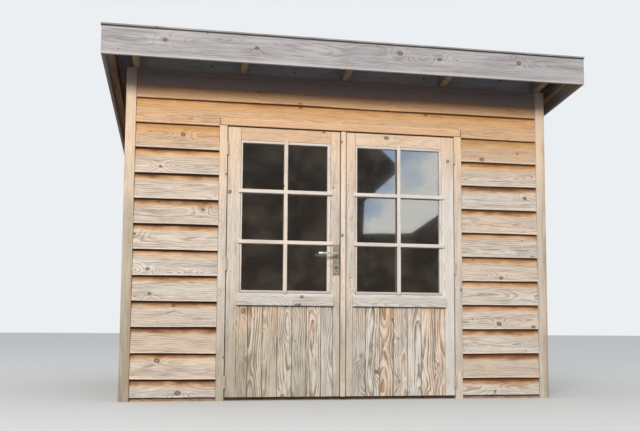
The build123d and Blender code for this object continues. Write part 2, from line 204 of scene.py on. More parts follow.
# What the panes mirror: blue sky and cloud in a gap with straight edges. The left edge leans out
# and back with height, and the lower edge runs level and then climbs to the right.
puffs = sky.noise(gaze, 16.0, 5.0, 0.55)
mottle = sky.noise(gaze, 30.0, 4.0, 0.6)
cover = (puffs + (gaze_right - gaze_up - 0.085) * 5.0).between(0.34, 0.60)
clouds = glow(1.16, cover.blend((186, 209, 232), (255, 253, 247)))
gloom = glow(1.0, mottle.between(0.40, 0.66).blend((66, 61, 58), (100, 92, 82)))
leaning_out = 0.225 + (gaze_up - 0.1623) * 1.066
leaning_back = 0.2622 - (gaze_up - 0.2103) * 1.09
left_edge = leaning_out.or_less(leaning_back).or_less(0.262).or_more(0.2257)
lower_edge = 0.1225 + (gaze_right - 0.2845).or_more(0.0) * 0.7 + (mottle - 0.5) * 0.004
blur = 0.0007
gap = (gaze_right - left_edge).between(-blur, blur)
gap = gap * (gaze_up - lower_edge).between(-blur, blur)
open_sky = gaze_up.between(0.34, 0.36).or_more(gaze_back.between(-0.6, -0.4))
mirrored = mixed(gap.or_more(open_sky), gloom, clouds)
shown = mixed(ray_is(sky, "Camera", "Transmission"), day, backdrop)
sky.node("OutputWorld", {"Surface": mixed(ray_is(sky, "Glossy"), shown, mirrored)})

floor_reach = 60
ground = Recipe(bpy.data.materials.new("pale_floor"))
pale = ground.field("BsdfDiffuse", {"Color": paint(204, 205, 203)})
dull = ground.field("BsdfDiffuse", {"Color": paint(86, 92, 98)})
laid = mixed(ray_is(ground, "Camera", "Glossy", "Transmission"), dull, pale)
ground.node("OutputMaterial", {"Surface": laid})
corners = np.array([[-1, -1, 0], [1, -1, 0], [1, 1, 0], [-1, 1, 0]]) * floor_reach
floor = place_mesh("floor", corners, [[0, 1, 2, 3]], ground.owner)

lamp = bpy.data.lights.new("soft_lamp", "AREA")
lamp.shape = "RECTANGLE"
lamp.size = 7
lamp.size_y = 2.8
lamp.energy = 1400
lamp.color = (1.0, 0.975, 0.945)
soft_lamp = bpy.data.objects.new("soft_lamp", lamp)
scene.collection.objects.link(soft_lamp)
lamp_place = Vector((-4.3, -13.0, 6.3))
lamp_target = Vector((0, -1.1, 1.3))
lamp_turn = (lamp_target - lamp_place).to_track_quat("-Z", "Y").to_matrix().to_4x4()
soft_lamp.matrix_world = Matrix.Translation(lamp_place) @ lamp_turn


# Floor bearers, sole plates, studs, top plates and the doorway's sills: sawn softwood, kept dry
# under the boards. The timbers are cut to length and nailed together, their grain along them.
def grown_grain(recipe, along, across, through, lot, ring, knotty):
    """The growth rings, knots and fibres of a board, from its own directions in metres.

    A ring is where the distance from the heart of the log has the same value. The heart lies a few
    centimetres behind the face and wanders along the log, so that a flat face cuts the rings into
    pointed arches, or to one side of the board, so that they run straight. Each knot pushes the
    rings out around it. Lot is a random number for each board, and knotty how many knots it has.
    """
    def noise(a, b, c, detail=2.0, roughness=0.5):
        where = recipe.field("CombineXYZ", {0: a, 1: b, 2: c})
        return recipe.noise(where, 1.0, detail, roughness) - 0.5

    def knots(length, height, smallest, largest, share):
        """One knot in a share of a loose grid's cells: places from it, radius, and presence."""
        shift = seed * 3.1
        spot = recipe.field("CombineXYZ", {0: along / length + shift, 1: across / height + seed})
        inputs = {"Vector": spot, "Scale": 1.0, "Randomness": 0.7}
        cells = recipe.node("TexVoronoi", inputs, voronoi_dimensions="2D")
        centre = Field(recipe, cells.outputs["Position"]).axes()
        chance = Field(recipe, cells.outputs["Color"]).axes()
        aside = along - (centre[0] - shift) * length
        above = across - (centre[1] - seed) * height
        radius = (chance[1] * (largest - smallest) + smallest) * (0.4 + 0.75 * knotty)
        present = 1 - chance[0].between(share, share + 0.02)
        return aside, above, radius, present

    seed = lot * 91.7
    aside, above, radius, present = knots(0.31, 0.15, 0.007, 0.019, 0.5 * knotty)
    bent = noise(along * 24.0, across * 30.0, seed + 3.0) * 0.9 + 1
    reach = (aside * aside + above * above * 1.5).math("SQRT") * bent
    swirl = ((aside * aside / 0.0050 + above * above / 0.0014) * -1).math("EXPONENT") * present
    pin_aside, pin_above, pin_radius, pin_present = knots(0.19, 0.08, 0.0025, 0.0055, 0.08 * knotty)
    pin_reach = (pin_aside * pin_aside + pin_above * pin_above).math("SQRT") / pin_radius
    pin = (1 - pin_reach.between(0.8, 1.3)) * pin_present

    wander = noise(along * 1.7, across * 2.0, seed, 1.0)
    ripple = noise(along * 9.0, across * 22.0, seed + 5.0, 3.0)
    depth = through + 0.036 + noise(along * 1.6, seed, 7.0, 1.0) * 0.17
    offset = across - (lot - 0.5) * 0.17 + wander * 0.12
    distance = (offset * offset + depth * depth).math("SQRT")
    turns = (distance + ripple * 0.014 + swirl * 0.036) / ring
    phase = turns.math("FRACT")
    around = reach / radius
    strength = noise(turns * 0.37, seed, 2.0, 1.0) * 1.6
    strength = strength + noise(along * 5.0, across * 12.0, seed + 9.0) * 1.2 + 0.85
    return SimpleNamespace(
        across=across,
        through=through,
        late=phase.between(0.25, 0.90) * (1 - phase.between(0.93, 1.0)) * strength.limited(),
        grit=noise(along * 22.0, across * 420.0, through * 420.0 + seed, 2.0, 0.6),
        fibre=noise(along * 9.0, across * 130.0, through * 130.0 + seed, 3.0, 0.65),
        streak=noise(along * 2.6, across * 44.0, through * 44.0 + seed, 2.0, 0.6),
        blotch=noise(along * 7.0, across * 17.0, seed + 21.0, 3.0, 0.6),
        cloud=noise(along * 2.2, across * 7.0, seed + 11.0, 3.0, 0.55),
        swirl=swirl,
        pin=pin,
        rim=(1 - (around - 1).math("ABSOLUTE") * 3.2).limited() * present,
        core=(1 - around.between(0.75, 1.0)) * present,
        eye=around.between(0.1, 0.8),
    )


def wood_finish(
    name, place, young, old, weather, ring=0.008, rough=0.78, relief=0.0006, stain=None, figure=1.0
):
    """Softwood. Place gives its directions and lot, young and old the pale and dark colour of its
    rings before and after weathering, weather how far that has gone, and stain what lies over it.
    Ring is a ring's width, and figure how much of its rings and knots the wood shows."""
    recipe = Recipe(bpy.data.materials.new(name))
    along, across, through, *lot = place(recipe)
    grain = grown_grain(recipe, along, across, through, lot[0], ring, figure)
    grain.lot = lot
    grain.x, grain.height = where_it_is(recipe)[::2]
    dark_rings = grain.late * figure + grain.fibre * 2.2 + grain.streak * 1.3 + grain.blotch * 0.6
    dark_rings = (dark_rings + 0.10).limited()
    grown_old = weather(grain).limited()
    colour = dark_rings.blend(*young).under(grown_old, dark_rings.blend(*old))
    bleached = (grain.streak * -1.7 + grain.cloud * -1.4 - 0.04).limited() * grown_old * 0.55
    dirt = grown_old * 0.7 + 0.3
    patches = (grain.blotch * 1.6 + grain.cloud * 1.6 - 0.10).limited() * dirt
    colour = colour.under(bleached, (234, 226, 214)).under(patches * 0.5, (128, 110, 92))
    streaks = (grain.streak * 1.1 + grain.swirl * 0.22 - 0.10).limited() * dirt
    knot = grain.eye.blend((184, 140, 100), (112, 76, 52))
    grey_knot = (0.6 + grain.eye * 0.35).blend(old[1], (92, 68, 50))
    knot = knot.under((grown_old * 1.2 - 0.3).limited(), grey_knot)
    colour = colour.under(streaks * figure, (112, 86, 66)).under(grain.core * 0.8, knot)
    split = (grain.fibre + grain.grit * 0.7).between(0.26, 0.36)
    colour = colour.under(grain.rim * 0.9, (66, 47, 36)).under(grain.pin * 0.8, (78, 57, 44))
    colour = colour.under(split * 0.6, (84, 66, 52))
    if stain:
        colour = stain(colour, grain)
    height = grain.late * 0.4 + (grain.fibre + grain.grit - split) * 0.5 - grain.rim * 0.4
    bump = recipe.field("Bump", {"Height": height, "Distance": relief, "Strength": 1.0})
    shine = {"Roughness": rough, "Specular IOR Level": 0.25}
    return recipe.principled({"Base Color": colour, "Normal": bump, **shine})


def where_it_is(recipe):
    """A point's place in the shed: across the front, into the shed, and up."""
    return recipe.field("TexCoord", output="Object").axes()


def lying(order, middle=0.0, pitch=10.0, face=0.0, seed=0.0, fall=0.0):
    """Directions of packed timbers: order names their along, across and through. The first one's
    middle is there, the next ones follow at the pitch, and their face lies at face. Each has its
    own lot, from its number in the row. Fall is how much they drop for each metre along."""
    def place(recipe):
        axes = dict(zip("xyz", where_it_is(recipe)))
        along, across, through = (axes[letter] for letter in order)
        count = (across + along * fall - middle) / pitch + 0.5
        number = count.math("FLOOR")
        key = recipe.field("CombineXYZ", {0: number, 1: through.math("ROUND"), 2: seed})
        lot = recipe.field("TexWhiteNoise", {"Vector": key})
        return along, (count - number - 0.5) * pitch, (through - face).math("ABSOLUTE"), lot

    return place


def under_cover(grain):
    """Little weathering, as on timber that stays dry."""
    return grain.streak * 0.6 + grain.cloud * 0.8 + 0.35


timber_pitch = 0.6
sawn_young = ((206, 164, 120), (168, 120, 80))
sawn_old = ((170, 146, 122), (132, 108, 88))
sawn_dry = (sawn_young, sawn_old, under_cover)
sawn_level = wood_finish("sawn_timber_x", lying("xyz", 0, timber_pitch), *sawn_dry)
sawn_upright = wood_finish("sawn_timber_z", lying("zxy", 0, timber_pitch), *sawn_dry)


def dress(names, finish):
    """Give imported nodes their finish."""
    for name in names:
        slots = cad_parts[name].data.materials
        slots.clear()
        slots.append(finish)


dress(["floor_bearers", "sole_plates", "top_plates", "threshold"], sawn_level)
dress(["wall_studs", "door_stops"], sawn_upright)


# Floor: tongue and groove boards that run from the doorway to the back, nailed to the bearers.
# Each has eased edges, so that the joints show as fine grooves.
dice = np.random.default_rng(31)


def loft(name, rings, grain, lot, finish, crease=35):
    """Bars joined into one mesh.

    Rings has the shape (bars, stations, corners, 3). Each bar has an outline of corners at every
    station, and a strip of quads joins each outline to the next. A face closes each end. Grain is
    each corner's place along, across and through its board, and lot holds a random number, the
    height within the board and a second random number.
    """
    bars, stations, corners = rings.shape[:3]
    index = np.arange(bars * stations * corners).reshape(bars, stations, corners)
    here, there = index[:, :-1], index[:, 1:]
    quads = np.stack([here, np.roll(here, -1, axis=2), np.roll(there, -1, axis=2), there], axis=-1)
    faces = quads.reshape(-1, 4).tolist() + index[:, 0, ::-1].tolist() + index[:, -1].tolist()
    piece = place_mesh(name, rings.reshape(-1, 3), faces, finish)
    mesh = piece.data
    for key, values in (("grain", grain), ("lot", lot)):
        attribute = mesh.attributes.new(key, "FLOAT_VECTOR", "POINT")
        spread = np.broadcast_to(values, rings.shape).astype(np.float32)
        attribute.data.foreach_set("vector", spread.ravel())
    shell = bmesh.new()
    shell.from_mesh(mesh)
    bmesh.ops.recalc_face_normals(shell, faces=shell.faces)
    shell.to_mesh(mesh)
    shell.free()
    mesh.shade_smooth()
    mesh.set_sharp_from_angle(angle=radians(crease))
    return piece


def in_board(recipe):
    """Directions and lot of a board that scene pieces carry with them."""
    carried = (
        recipe.field("Attribute", output="Vector", attribute_name=key) for key in ("grain", "lot")
    )
    return [number for vector in carried for number in vector.axes()]


def eased_outline(width, thickness, bevel):
    """Corners of a board's section, as (across, through), through 0 at its face, with its two face
    edges taken off at 45 degrees."""
    half = width / 2
    right_side = [(half - bevel, 0), (half, bevel), (half, thickness)]
    return np.array([(-across, through) for across, through in right_side[::-1]] + right_side)


def planks(count, low, high, run, thickness, bevel):
    """Straight planks that fill the space from low to high: along, across and through for each of
    their corners, and the three in one array with across from the plank's own middle."""
    pitch = (high - low) / count
    middles = low + pitch * (np.arange(count) + 0.5)
    outline = eased_outline(pitch - board_joint, thickness, bevel)
    shape = (count, len(run), len(outline))
    along = np.broadcast_to(np.array(run)[:, None], shape)
    own = np.broadcast_to(outline[:, 0], shape)
    through = np.broadcast_to(outline[:, 1], shape)
    return along, own + middles[:, None, None], through, np.stack([along, own, through], axis=-1)


def lots(bars):
    """Random numbers for each bar, to spread over its corners."""
    chance = [dice.random(bars), np.full(bars, 0.5), dice.random(bars)]
    return np.stack(chance, axis=-1)[:, None, None, :]


floor_low, floor_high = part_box("floor_boards")
floor_count = 24
board_joint = 0.0006
floor_bevel = 0.0018
floor_run = (floor_low.y, floor_high.y)
floor_thickness = floor_high.z - floor_low.z
along, across, through, own = planks(
    floor_count, floor_low.x, floor_high.x, floor_run, floor_thickness, floor_bevel
)
rings = np.stack([across, along, floor_high.z - through], axis=-1)
trodden = wood_finish("trodden_boards", in_board, *sawn_dry, rough=0.7)
floor_planks = loft("floor_planks", rings, own, lots(floor_count), trodden)
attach(floor_planks, "shed")
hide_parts("floor_boards")


# Corner posts: planed softwood, square with eased edges, from the ground to the joists. Under the
# eaves they keep the warm colour of new wood, and further down rain and sun have greyed them.
dry_height = 1.95


def greyed_below(wet_height, least, most):
    """Weathering that grows from least at the dry height to most at the wet one."""
    def weather(grain):
        exposed = 1 - grain.height.between(wet_height, dry_height)
        return exposed * (most - least) + least + grain.cloud * 0.9 + grain.streak * 0.5

    return weather


def damp_foot(colour, grain):
    """Green and grey where wet grass lies against the wood, more to the left, out of the sun."""
    shaded = 1.2 - grain.x.between(-1.6, 1.2) * 0.95
    damp = (1 - grain.height.between(0.05, 0.95)) * (grain.cloud * 2.0 + grain.blotch + shaded)
    return colour.under((damp * 0.5).limited(), (142, 132, 106))


def bleached_side(colour, grain):
    """A bleached left side and a browner right one on each post, and damp at its foot."""
    sun = 0.3 + grain.x.between(-1.2, 1.2) * 0.7
    bare = (1 - grain.across.between(-0.014, 0.012)) * (grain.cloud * 1.6 + 0.6).limited() * sun
    brown = grain.across.between(0.006, 0.028) * (grain.streak * 2.0 + 0.5).limited()
    colour = colour.under(bare * 0.5, (232, 224, 214)).under(brown * 0.5, (196, 146, 104))
    return damp_foot(colour, grain)


planed_young = ((240, 214, 182), (222, 184, 144))
planed_old = ((195, 181, 158), (164, 149, 125))
post_low, post_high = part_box("corner_posts")
post_size = 0.068
post_pitch = post_high.x - post_low.x - post_size
post_places = lying("zxy", post_low.x + post_size / 2, post_pitch, post_low.y, 1.0)
dress(["corner_posts"], wood_finish(
    "post_wood", post_places, planed_young, planed_old, greyed_below(1.0, 0.0, 0.95),
    ring=0.009, stain=bleached_side, figure=0.55,
))


# Lap boards: weatherboards that taper from a thick lower edge to a thin upper one, which a rebate
# in the next board covers. They lie flat on the studs, end against the posts and the door frame,
# and have bent a little with the years. The front's top boards run over the door in one length.
board_pitch = 0.175
lowest_lap = 0.146
board_butt = 0.028
board_tip = 0.014
hidden_tip = 0.012
rebate_height = 0.014
rebate_depth = 0.0146
butt_round = 0.0015
cup = ((butt_round / board_pitch, 0), (0.2, -0.0005), (0.45, -0.0009), (0.7, -0.0006), (1.0, 0))
station_step = 0.09
end_gap = 0.0015
clearance = 0.0005
seat_height = post_high.z
front_face = post_low.y
lean = radians(5.5)
slope = tan(lean)


def seat_at(y):
    """Height of the joists' underside at the place y."""
    return seat_height - (y - front_face) * slope


def lap_board(row, run, notch, twist, eaves):
    """One board as (run, outward, height) for each corner of each station.

    Twist holds this board's random bends: its butt rises, falls and stands off along the run as a
    sum of two sines. It thins with height, and the roof cuts its top, at the eaves' place y or
    else along the run. Over the door frame it starts at the notch's height.
    """
    stations = max(2, int((run[1] - run[0]) / station_step) + 1)
    x = np.linspace(*run, stations)
    butt = lowest_lap + row * board_pitch
    sway = np.sin(x * twist[0] + twist[1]) + 0.6 * np.sin(x * twist[2] + twist[3])
    low = np.maximum(butt + 0.0018 * sway, notch)
    if row < 0:
        low = np.full(stations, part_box("left_wall")[0].z)
    proud = 0.0017 * (np.sin(x * twist[2] * 0.7 + twist[1]) + 1)
    roof_line = seat_at(x if eaves is None else np.full(stations, eaves)) - clearance
    tip = np.minimum(butt + board_pitch + hidden_tip, roof_line)
    lap = np.minimum(butt + board_pitch, tip - 0.001)

    def thickness(height):
        share = (height - butt) / board_pitch
        return board_butt - (board_butt - board_tip) * share + proud * (1 - share)

    heights = [low + (lap - low) * share for share, hollow in cup]
    rebate = np.full(stations, rebate_depth)
    corners = [
        (rebate, low),
        (thickness(low) - butt_round, low),
        *((thickness(height) + hollow, height) for height, (share, hollow) in zip(heights, cup)),
        (thickness(tip), tip),
        (np.zeros(stations), tip),
        (np.zeros(stations), low + rebate_height),
        (rebate, low + rebate_height),
    ]
    lines = [np.stack([x, out, height], axis=-1) for out, height in corners]
    return np.stack(lines, axis=1)


def lap_wall(name, replaced, stretches, axis, face, outward, eaves=None):
    """All boards of a wall in one mesh, from the row, run, notch and board number of each stretch.
    The wall runs along axis 0 or 1, and its boards stand out from face, up or down the other axis
    as outward is 1 or -1."""
    pieces = []
    for row, run, notch, board in stretches:
        random = np.random.default_rng([board, row + 5])
        twist = random.uniform((1.5, 0, 5, 0), (4, 6.3, 9, 6.3))
        along, out, height = np.moveaxis(lap_board(row, run, notch, twist, eaves), -1, 0)
        level = [along, face + outward * out]
        rings = np.stack([level[axis], level[1 - axis], height], axis=-1)
        butt = lowest_lap + row * board_pitch
        own = np.stack([along + board * 0.37, height - butt - board_pitch / 2, -out], axis=-1)
        rise = np.clip((height - butt) / board_pitch, 0, 1)
        first, second = (np.full_like(rise, chance) for chance in random.random(2))
        lot = np.stack([first, rise, second], axis=-1)
        pieces.append(loft(f"{name}_{len(pieces)}", rings[None], own[None], lot[None], lap_finish))
    piece = pieces[0]
    with bpy.context.temp_override(active_object=piece, selected_editable_objects=pieces):
        bpy.ops.object.join()
    piece.name = name
    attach(piece, "shed")
    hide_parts(*replaced)


def indoors(grain):
    """1 on the inner face of a lap board, and 0 outside."""
    return grain.through.between(-0.008, -0.002)


def sheltered(grain):
    """Weathering of the lap boards: little under the eaves and in the strip that the board above
    keeps dry, more towards each board's lower edge, and patchy."""
    rise, bias = grain.lot[1:]
    dry = grain.height.between(1.42, 2.06)
    patch = grain.blotch * 0.9 + grain.cloud * 0.7 + (bias - 0.5) * 0.25
    strip = (rise + patch * 0.4 + grain.streak * 0.2).between(0.60, 0.86).or_more(indoors(grain))
    return 0.97 - dry * 0.90 - strip * 0.8 + (bias - 0.5) * 0.22 + patch * 0.6 + grain.streak * 0.5


def grimed(colour, grain):
    """Rust-brown tannin stain close under the next board's edge, with painted shade over it, a
    painted shadow line right under that edge, a painted highlight on each board's lower lip,
    and painted shade of the eaves, over a little old dust, at the very top of the walls."""
    random, rise = grain.lot[:2]
    outside = 1 - indoors(grain)
    under_eaves = grain.height.between(1.74, 1.84)
    # A painted highlight along each board's lower lip, greyer low on the wall and warmer up high.
    lip = (1 - rise.between(0.02, 0.08)) * outside
    lip_highlight = under_eaves.blend((242, 230, 214), (236, 190, 142))
    colour = colour.under((random - 0.5).limited() * 0.28, (150, 132, 112))
    # The rust band: tannin stain with painted shade, darkest close under the edge above.
    ragged = grain.blotch * 0.24 + grain.cloud * 0.2 + grain.streak * 0.1 + (random - 0.5) * 0.08
    rust = (rise + ragged).between(0.71, 1.0) * (1 - under_eaves * 0.6) * outside
    colour = colour.under(lip * 0.45, lip_highlight).under(rust, (102, 62, 27))
    # A painted shadow: a dark line close under the edge of the board above, paler on sunnier parts.
    edge = (rise + grain.blotch * 0.012 - under_eaves * 0.018).between(0.905, 0.935)
    sunnier = under_eaves.or_more(grain.x.between(0.7, 1.0) * 0.8)
    shadow = sunnier.blend((62, 26, 2), (110, 64, 28))
    # Painted shade of the eaves, over a little dust: a darker band at the very top of the walls.
    dust = (grain.height + grain.cloud * 0.03).between(2.055, 2.205)
    eaves_shade_and_dust = grain.height.between(2.125, 2.195).blend((168, 116, 74), (170, 154, 147))
    return colour.under(edge * outside * 0.95, shadow).under(dust * outside * 0.93, eaves_shade_and_dust)


lap_young = ((232, 182, 124), (208, 150, 95))
lap_old = ((221, 209, 193), (166, 152, 136))
lap_finish = wood_finish(
    "lap_board_wood", in_board, lap_young, lap_old, sheltered,
    ring=0.013, rough=0.8, relief=0.0008, stain=grimed, figure=0.75,
)

front_low, front_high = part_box("front_wall_left")
door_low, door_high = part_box("front_wall_over_door")
last_row = int((seat_height - lowest_lap) / board_pitch)
head_row = int((door_low.z - lowest_lap) / board_pitch)
front_run = (front_low.x + end_gap, -front_low.x - end_gap)
left_run = (front_run[0], door_low.x - end_gap)
right_run = (door_high.x + end_gap, front_run[1])
stretches = []
for row in range(-1, head_row):
    stretches += [(row, left_run, 0, 1), (row, right_run, 0, 2)]
over_door = (left_run[1], right_run[0])
for run, notch in ((left_run, 0), (over_door, door_low.z), (right_run, 0)):
    stretches.append((head_row, run, notch, 3))
stretches += [(row, front_run, 0, 3) for row in range(head_row + 1, last_row + 1)]
front = ["front_wall_left", "front_wall_right", "front_wall_over_door"]
lap_wall("front_lap_boards", front, stretches, 0, front_high.y, -1, front_high.y)

side_low, side_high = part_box("right_wall")
shortest_board = 0.1


def side_stretches(board):
    """Rows of a side wall. The roof's slope cuts the top ones short of the back."""
    rows = []
    for row in range(-1, last_row + 1):
        butt = lowest_lap + row * board_pitch
        meets_roof = front_face + (seat_height - butt - 2 * rebate_height) / slope
        end = min(side_high.y - end_gap, meets_roof)
        if end > side_low.y + shortest_board:
            rows.append((row, (side_low.y + end_gap, end), 0, board))
    return rows


lap_wall("right_lap_boards", ["right_wall"], side_stretches(4), 1, side_low.x, 1)
lap_wall("left_lap_boards", ["left_wall"], side_stretches(5), 1, -side_low.x, -1)

back_low, back_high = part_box("back_wall")
back_rows = range(-1, int((seat_at(back_high.y) - lowest_lap) / board_pitch) + 1)
back_stretches = [(row, front_run, 0, 6) for row in back_rows]
lap_wall("back_lap_boards", ["back_wall"], back_stretches, 0, back_low.y, 1, back_high.y)


# Nails: each board is held at every post and stud by a galvanised nail just above its lower edge.
# The heads are low domes, dulled by the weather.
def metal_finish(name, pale, dark, metallic, rough, speck):
    """Worn metal: patches between a pale and a dark colour, rougher where it is darker. Speck is
    how many patches there are to a metre."""
    recipe = Recipe(bpy.data.materials.new(name))
    patch = recipe.noise(recipe.field("TexCoord", output="Object"), speck, 4.0, 0.65)
    worn = patch.between(0.35, 0.68)
    colour = worn.blend(pale, dark)
    bump = recipe.field("Bump", {"Height": patch, "Distance": 0.0004, "Strength": 0.6})
    shine = {"Roughness": worn * 0.25 + rough, "Metallic": metallic}
    return recipe.principled({"Base Color": colour, "Normal": bump, **shine})


def domes(name, heads, radius, height, finish, sides):
    """Round heads, from the centre and the outward direction of each: rings that shrink as a
    quarter circle towards the top. The first ring lies a little under the surface."""
    centres, outwards = np.moveaxis(np.array(heads, float), 1, 0)[:, :, None, None]
    turn = np.linspace(0, 2 * pi, sides, endpoint=False)[:, None]
    climb = (np.array([0, 0, 40, 75]) * pi / 180)[:, None, None]
    reach = radius * np.cos(climb)
    lift = height * np.sin(climb)
    lift[0] = -0.001
    aside = np.cross(outwards, [0, 0, 1])
    upward = reach * np.sin(turn) * np.array([0, 0, 1])
    ring = centres + reach * np.cos(turn) * aside + upward + lift * outwards
    return loft(name, ring, ring, (0.5, 0.5, 0.5), finish, crease=80)


nail_radius = 0.0035
nail_height = 0.0012
nail_rise = 0.030
nail_inset = 0.022
under_joists = 0.02
nail_face = board_butt - (board_butt - board_tip) * nail_rise / board_pitch + 0.0008
head_studs = [-0.45, 0.45]
galvanised = metal_finish("galvanised_steel", (150, 148, 142), (104, 96, 86), 0.8, 0.5, 400.0)
heights = [lowest_lap + row * board_pitch + nail_rise for row in range(last_row)]
first_x, last_x = front_run[0] + nail_inset, front_run[1] - nail_inset
post_and_door = [first_x, door_low.x - nail_inset, door_high.x + nail_inset, last_x]
heads = []
for row, height in enumerate(heights):
    for x in post_and_door + (head_studs if row > head_row else []):
        heads.append(((x, front_high.y - nail_face, height), (0, -1, 0)))
for y in np.linspace(side_low.y, side_high.y, 4) + [nail_inset, 0, 0, -nail_inset]:
    for height in heights:
        if height < seat_at(y) - under_joists:
            for way in (1, -1):
                heads.append((((side_low.x + nail_face) * way, y, height), (way, 0, 0)))
for x in np.linspace(first_x, last_x, 5):
    for height in heights[:max(back_rows)]:
        heads.append(((x, back_low.y + nail_face, height), (0, 1, 0)))
nails = domes("board_nails", heads, nail_radius, nail_height, galvanised, sides=8)
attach(nails, "shed")


# Door frame: two planed jambs with a head laid over them. The head and the tops of the jambs are
# still warm, and their feet have gone grey-green.
joinery_young = ((246, 216, 182), (228, 188, 148))
joinery_old = ((220, 206, 190), (184, 168, 150))
head_low, head_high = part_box("door_head")
jamb_low, jamb_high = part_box("door_jamb_left")
jamb_width = jamb_high.x - jamb_low.x
jamb_pitch = head_high.x - head_low.x - jamb_width
jamb_places = lying("zxy", head_low.x + jamb_width / 2, jamb_pitch, head_low.y, 2.0)
dress(["door_jamb_left", "door_jamb_right"], wood_finish(
    "jamb_wood", jamb_places, joinery_young, joinery_old, greyed_below(1.1, 0.02, 0.95),
    ring=0.009, stain=damp_foot, figure=0.45,
))
head_places = lying("xzy", (head_low.z + head_high.z) / 2, face=head_low.y, seed=3.0)
head_young = ((238, 196, 154), (216, 164, 118))
shadow_brown = (84, 50, 26)


def shut_ends(colour, grain):
    """Painted shadow along the head's foot, dark joint lines at its ends, the right one also a
    painted shadow, and a pale line on its upper edge.
    """
    # A painted shadow along the head's foot.
    foot = 1 - grain.height.between(head_low.z + 0.002, head_low.z + 0.008)
    top = grain.height.between(head_high.z - 0.008, head_high.z - 0.003)
    colour = colour.under(foot * 0.85, shadow_brown).under(top * 0.4, (252, 226, 190))
    # Joint lines at both ends; the right one also stands for a painted shadow.
    left_end = 1 - grain.x.between(head_low.x + 0.003, head_low.x + 0.007)
    ends = grain.x.between(head_high.x - 0.009, head_high.x - 0.004) + left_end
    return colour.under(ends.limited() * 0.75, (104, 62, 32))


dress(["door_head"], wood_finish(
    "head_wood", head_places, head_young, joinery_old, greyed_below(1.1, -0.05, 0.8),
    ring=0.012, stain=shut_ends, figure=0.6,
))


# Stiles and rails of the leaves: planed softwood, tenoned and flush, with a fine shadow at the
# joints. The meeting strip is a bevelled lath on the left leaf's edge. The right leaf's hinge
# stile, out in the sun, is the most bleached.
def joint_lines(places, half=0.0026, share=0.6):
    """Bleaching to the right, damp at the foot, a painted shadow line close under the head, and a
    dark line at each of these places across the front, as wide as half is on either side."""
    def stain(colour, grain):
        rained = grain.x.between(0.45, 0.73) * (1 - grain.height.between(1.35, 1.75) * 0.9)
        bleached = rained * (grain.cloud * 1.2 - grain.late * 0.3 + 0.62)
        colour = colour.under(bleached.limited(), (240, 234, 224))
        for place in places:
            line = 1 - (grain.x - place).math("ABSOLUTE").between(half * 0.4, half)
            colour = colour.under(line * share, (110, 80, 56))
        # A painted shadow of the head along the top of the leaves.
        under_head = grain.height.between(head_low.z - 0.011, head_low.z - 0.006)
        return damp_foot(colour.under(under_head * 0.85, shadow_brown), grain)

    return stain


rail_young = {"left": ((232, 198, 162), (210, 166, 126)), "right": joinery_young}
middle_rail = 0.668
strip_low, strip_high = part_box("meeting_strip")
strip_shadow = joint_lines([strip_low.x - 0.001], 0.005, 0.8)
for number, side in enumerate(("left", "right")):
    stiles_low, stiles_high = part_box(f"{side}_door_stiles")
    opening_low, opening_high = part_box(f"{side}_door_glass")
    first = (stiles_low.x + opening_low.x) / 2
    last = (stiles_high.x + opening_high.x) / 2
    stile_places = lying("zxy", first, last - first, stiles_low.y, 4.0 + number)
    dress([f"{side}_door_stiles"], wood_finish(
        f"{side}_stile_wood", stile_places, joinery_young, joinery_old,
        greyed_below(1.2, 0.15, 1.0), ring=0.009, stain=strip_shadow, figure=0.45,
    ))
    top_rail = (opening_high.z + stiles_high.z) / 2
    rail_places = lying("xzy", top_rail, top_rail - middle_rail, stiles_low.y, 6.0 + number)
    rail_ends = joint_lines([opening_low.x, opening_high.x])
    dress([f"{side}_door_rails"], wood_finish(
        f"{side}_rail_wood", rail_places, rail_young[side], joinery_old,
        greyed_below(1.2, 0.3 * number - 0.2, 1.0), ring=0.010, stain=rail_ends, figure=0.55,
    ))
strip_young = ((252, 226, 196), (238, 204, 170))
strip_old = ((230, 217, 202), (200, 185, 168))
strip_places = lying("zxy", (strip_low.x + strip_high.x) / 2, face=strip_low.y, seed=8.0)
dress(["meeting_strip"], wood_finish(
    "strip_wood", strip_places, strip_young, strip_old, greyed_below(1.2, 0.1, 0.7),
    ring=0.009, stain=joint_lines([strip_low.x], 0.002, 0.9), figure=0.6,
))


# Door panels: upright tongue and groove boards with a small V at each joint. Each board has its
# own arched grain, orange in places and grey in others.
panel_cover = 0.102
panel_first = {"left": 0.081, "right": 0.094}
panel_bevel = 0.0035
panel_joint = 0.001
panel_stations = 5
narrowest_board = 0.03
clear_of_joint = (1, 0, 1, 1, 0, 1)


def streaked(grain):
    """Patchy weathering of the panel boards, with orange left in streaks and near the top."""
    top = grain.height.between(0.35, 0.66)
    indoor_face = grain.through.between(0.005, 0.010)
    patch = grain.cloud * 1.3 + grain.streak * 1.6 + grain.blotch * 0.5
    return 0.84 - top * 0.35 + (grain.lot[2] - 0.5) * 0.8 + patch - indoor_face * 0.7


def wet_joints(colour, grain):
    """Dark dirt in the joints, bare silvery patches, a drip of rust-brown here and there, and damp
    at the foot."""
    random, edge = grain.lot[:2]
    bare = (grain.blotch * -2.2 - grain.streak * 1.8 - grain.cloud * 0.8 - 0.12).limited()
    colour = colour.under(bare * 0.75, (232, 233, 226))
    colour = colour.under(random.between(0.55, 0.80) * 0.35, (188, 190, 186))
    colour = colour.under((1 - random.between(0.12, 0.34)) * 0.35, (160, 152, 126))
    brown = (grain.streak * 1.8 + grain.cloud * 1.1 - 0.18).limited()
    joint = (1 - edge).between(0.1, 0.9)
    colour = colour.under(brown, (152, 104, 72)).under(joint * 0.7, (98, 78, 58))
    return damp_foot(colour, grain)


